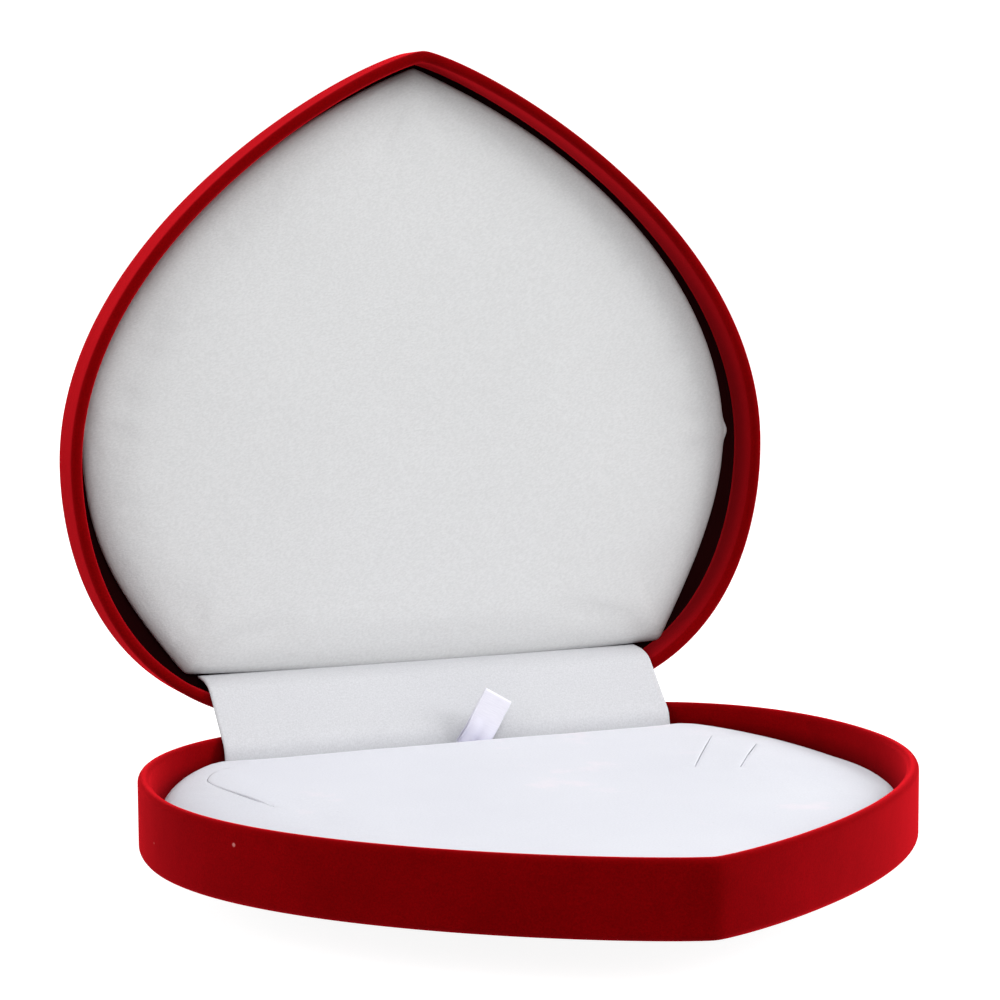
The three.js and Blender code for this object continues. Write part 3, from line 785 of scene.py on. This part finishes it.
def make_lining_cover(materials):
    outline = lining_outline(520)
    top = LID_HEIGHT - LINING_DEPTH - LINING_UNDERSIDE - 0.3 * MM
    drop, width = 3.3 * MM, 8.5 * MM
    spikes = [np.array([-x, y]) * MM for (x, y), _ in LINING_SPIKES]

    def height_of(points, distance):
        height = top - rolled(distance, width, drop)
        height += ripple(points, 30 * MM, 5.2) * 0.14 * MM
        for spike in spikes:
            near = np.linalg.norm(points - spike, axis=1)
            height -= 0.5 * MM * np.exp(-((near / (3 * MM)) ** 2)) * (distance > 0.6 * MM)
        return height

    place = LID_TRAY @ Matrix.Translation((0, 0, LINING_UNDERSIDE))
    cover = cover_sheet("lid_lining_cover", outline, HEM_WIDTH, top - drop, height_of, [], 1.7 * MM, place)
    make_cover(cover, 1.5, 0.3 * MM, COVER_THICKNESS)
    wear(cover, materials["lining_satin"])
    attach(cover, "lid")
    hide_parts("lining_cover")
    low = COVER_THICKNESS + 0.2 * MM
    make_board("lid_lining_board", outline, low, 1.2 * MM, place, "lid", "lining_board", materials)
    low += 1.3 * MM
    make_foam(
        "lid_lining_foam_core", outline, 3.5 * MM, low, height_of, place, "lid", "lining_foam", materials
    )


STRIP_RUN = [
    (11, 11.4), (8.2, 11.35), (4.6, 11), (1, 9.8), (-2, 7.1),
    (-5.2, 3.9), (-8.7, 0.5), (-10.9, -1.8), (-11.8, -4.6), (-12.1, -8.6),
]


def smooth_run(points, count):
    """A smooth run through points, by Catmull-Rom, at even steps."""
    p = np.array(points, float)
    p = np.vstack([2 * p[0] - p[1], p, 2 * p[-1] - p[-2]])
    fine = []
    for a, b, c, d in zip(p, p[1:], p[2:], p[3:]):
        for t in np.linspace(0, 1, 20, endpoint=False):
            fine.append(0.5 * (2 * b + (c - a) * t + (2 * a - 5 * b + 4 * c - d) * t**2
                               + (3 * b - a - 3 * c + d) * t**3))
    fine = np.array(fine + [p[-2]])
    along = np.r_[0, np.cumsum(np.linalg.norm(np.diff(fine, axis=0), axis=1))]
    wanted = np.linspace(0, along[-1], count)
    return np.c_[tuple(np.interp(wanted, along, fine[:, k]) for k in range(p.shape[1]))], along[-1]


def make_hinge_cover(materials):
    run, length = smooth_run(np.array(STRIP_RUN) * MM, 60)
    across = np.linspace(STRIP_LOW.x, STRIP_HIGH.x, 150)
    rows = [np.c_[across, np.full(150, y), np.full(150, z)] for y, z in run]
    strip = grid_mesh("hinge_cover_strip", rows, Matrix.Translation(HINGE))
    modified(strip, "SOLIDIFY", thickness=0.45 * MM, offset=0)
    wear(strip, materials["strip_paper"])
    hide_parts("hinge_cover")
    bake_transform(strip)


def make_ribbon(materials):
    width, lean = 7.8 * MM, math.radians(31)
    foot = Vector((6.3 * MM, HINGE.y - 13.5 * MM, PAD_HIGH.z + 2.2 * MM))
    run = [(1.5, -9), (1.3, -6), (0.7, -3.2), (0.1, -0.6), (0.2, 3.2), (0.3, 7), (0.26, 8.9), (0.02, 9.5),
           (-0.22, 8.9), (-0.32, 7), (-0.5, 3.2), (-0.9, -0.6), (-0.6, -3.2), (0.3, -6), (0.9, -9)]
    path, _ = smooth_run(np.array(run) * MM, 120)
    across = np.linspace(-1, 1, 28)
    rows = []
    for y, z in path:
        low = min(max(0.0, (2.5 * MM - z) / (7 * MM)), 1.0)
        half = width / 2 * (1 - 0.1 * low)
        pleats = 0.45 * MM * low * np.sin(across * 6 + 0.6)
        bow = 0.35 * MM * (across**2 - 0.4) * (1 - low)
        rows.append(np.c_[across * half, y + pleats - bow, np.full(28, z)])
    place = Matrix.Translation(foot) @ Matrix.Rotation(lean, 4, "Y")
    ribbon = grid_mesh("pull_ribbon_loop", rows, place)
    modified(ribbon, "SOLIDIFY", thickness=0.16 * MM, offset=0)
    wear(ribbon, materials["ribbon_satin"])
    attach(ribbon, "insert")
    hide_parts("pull_ribbon")
    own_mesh(ribbon)


def make_bottom_sheet(materials):
    outline = inset(heart_outline(400), HEM_WIDTH + 0.3 * MM)
    rows = [ring(outline, d, z * MM) for d, z in ((0.15 * MM, 0.0), (0, 0.1), (0, 0.6), (0.2 * MM, 0.7))]
    top = cap_rows(rows[-1], -LENGTH / 2, 12)
    bottom = cap_rows(rows[0], -LENGTH / 2, 12)
    sheet = from_rings("base_felt_sheet", bottom[::-1] + rows + top)
    x, y = outline[:, 0], outline[:, 1]
    area = 0.5 * abs(np.dot(x, np.roll(y, -1)) - np.dot(y, np.roll(x, -1)))
    wear(sheet, materials["felt"])
    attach(sheet, "base")
    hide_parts("base_bottom_sheet")
    np.ptp(x)
    np.ptp(y)


CAD_FINISHES = {
    "tray_plastic": ["base_shell", "lid_shell"],
    "card": ["insert_board"],
    "foam": [f"insert_riser_{where}" for where in ("left", "right", "back", "front")],
    "hinge_steel": ["hinge_leaf_base", "hinge_leaf_lid", "hinge_pin", "detent_spring", "spring_rivet"]
    + [f"{half}_rivet_{side}" for half in ("base", "lid") for side in ("left", "right")],
}


def finish_cad_nodes(materials):
    for slot, nodes in CAD_FINISHES.items():
        for node in nodes:
            wear(frame["nodes"][node], materials[slot])


# ---------------------------------------------------------------- camera, light and floor
def make_camera():
    azimuth, elevation, roll = (math.radians(a) for a in (-21.391, 7.099, -0.289))
    back = Vector((math.sin(azimuth) * math.cos(elevation), -math.cos(azimuth) * math.cos(elevation),
                   math.sin(elevation)))
    right = Vector((math.cos(azimuth), math.sin(azimuth), 0))
    up = back.cross(right)
    turned = right * math.cos(roll) + up * math.sin(roll)
    camera = bpy.data.objects.new("camera", bpy.data.cameras.new("camera"))
    bpy.context.scene.collection.objects.link(camera)
    camera.data.lens = 111.58
    camera.data.clip_start = 0.01
    axes = Matrix((turned, back.cross(turned), back)).transposed().to_4x4()
    camera.matrix_world = Matrix.Translation(HINGE + Vector((-260.0, -707.5, 146.8)) * MM) @ axes
    bpy.context.scene.camera = camera


def soft_light(name, place, target, size, power):
    lamp = bpy.data.lights.new(name, "AREA")
    lamp.shape = "DISK"
    lamp.size = size
    lamp.energy = power
    obj = bpy.data.objects.new(name, lamp)
    bpy.context.scene.collection.objects.link(obj)
    obj.location = place
    obj.rotation_euler = (Vector(target) - Vector(place)).to_track_quat("-Z", "Y").to_euler()


def make_stage():
    """A pale floor that runs up into a backdrop far behind. To the camera it glows, as a light table."""
    run = [(-6, 0), (4.5, 0), (6.5, 0.2), (8.3, 1.0), (9.3, 2.6), (9.6, 6)]
    path, _ = smooth_run(run, 80)
    rows = [np.array([[-9, y, z], [9, y, z]]) for y, z in path]
    floor = grid_mesh("studio_floor", rows, Matrix.Identity(4))
    paint = Finish("studio_floor", roughness=0.9, base_color=(0.4, 0.4, 0.4, 1), specular_ior_level=0.05,
                   emission_color=(1, 1, 1, 1))
    seen = paint.node("LightPath").outputs["Is Camera Ray"]
    glow = paint.node("Math", {0: seen, 1: 0.9}, operation="MULTIPLY").outputs[0]
    paint.links.new(glow, paint.shader.inputs["Emission Strength"])
    wear(floor, paint.material)
    world = bpy.data.worlds.new("studio")
    bpy.context.scene.world = world
    world.use_nodes = True
    world.node_tree.nodes["Background"].inputs["Color"].default_value = (1, 1, 1, 1)
    world.node_tree.nodes["Background"].inputs["Strength"].default_value = 0.64
    middle = (0, 0, 0.06)
    soft_light("overhead_softbox", (0.1, -0.35, 1.2), middle, 0.9, 2.5)
    soft_light("right_softbox", (1.1, -0.35, 0.5), middle, 0.7, 13)
    soft_light("left_softbox", (-1.2, -0.25, 0.5), middle, 0.7, 6.5)
    soft_light("front_softbox", (-0.35, -1.3, 1.05), middle, 1.0, 8.7)
    soft_light("back_softbox", (0.3, 1.4, 1.0), middle, 0.9, 7)


def main():
    makers = (red_velvet, white_velvet, lining_satin, strip_paper, ribbon_satin, felt, tray_plastic,
              card, foam, hinge_steel)
    materials = {maker.__name__: maker() for maker in makers}
    bpy.context.scene.view_settings.view_transform = "Standard"
    make_camera()
    make_stage()
    make_velvet(materials)
    make_insert_cover(materials)
    make_lining_cover(materials)
    make_hinge_cover(materials)
    make_ribbon(materials)
    make_bottom_sheet(materials)
    finish_cad_nodes(materials)


main()
